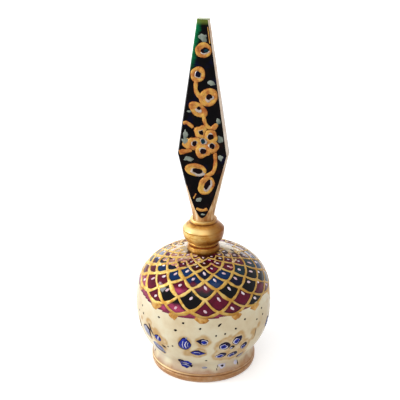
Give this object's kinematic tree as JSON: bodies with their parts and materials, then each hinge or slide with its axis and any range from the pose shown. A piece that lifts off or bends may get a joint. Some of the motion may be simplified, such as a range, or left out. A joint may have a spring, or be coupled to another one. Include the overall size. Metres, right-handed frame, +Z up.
{
  "type": "kohl pot",
  "caption": "Hollow painted kohl pot on a gilt foot ring, with a lift-out stopper that has a flat spear-shaped finial above and a kohl stick hanging inside.",
  "frame": {"origin": "centre of the foot ring, on the plane that the pot stands on", "axes": "+Z up along the pot's axis to the finial's tip; +X across the finial's width; -Y out of the finial's front face"},
  "size_m": [0.0462, 0.0462, 0.1205],
  "materials": {
    "foot_ring": "gilt, brushed on, satin",
    "lower_bowl": "cream paint with blue flowers under clear lacquer",
    "upper_dome": "maroon, blue and black scales with gold lines under clear lacquer",
    "neck_ferrule": "gilt, brushed on, satin",
    "seal_washer": "plain brown leather",
    "stopper_head": "gilt, brushed on, satin",
    "kohl_stick": "drawn brass, polished",
    "finial_blade": "black-green paint with a gold vine, cream edges, clear lacquer"
  },
  "bodies": {
    "pot": {"foot_ring": "foot_ring", "lower_bowl": "lower_bowl", "upper_dome": "upper_dome", "neck_ferrule": "neck_ferrule"},
    "seal": {"seal_washer": "seal_washer"},
    "stopper": {"stopper_head": "stopper_head", "kohl_stick": "kohl_stick", "finial_blade": "finial_blade"}
  },
  "joints": [
    {"name": "stopper_lift", "type": "slide", "parent": "pot", "child": "seal", "axis": [0, 0, 1], "range_m": [0, 0.042]},
    {"name": "stopper_turn", "type": "hinge", "parent": "seal", "child": "stopper", "pos_m": [0, 0, 0.044], "axis": [0, 0, 1], "continuous": true}
  ]
}
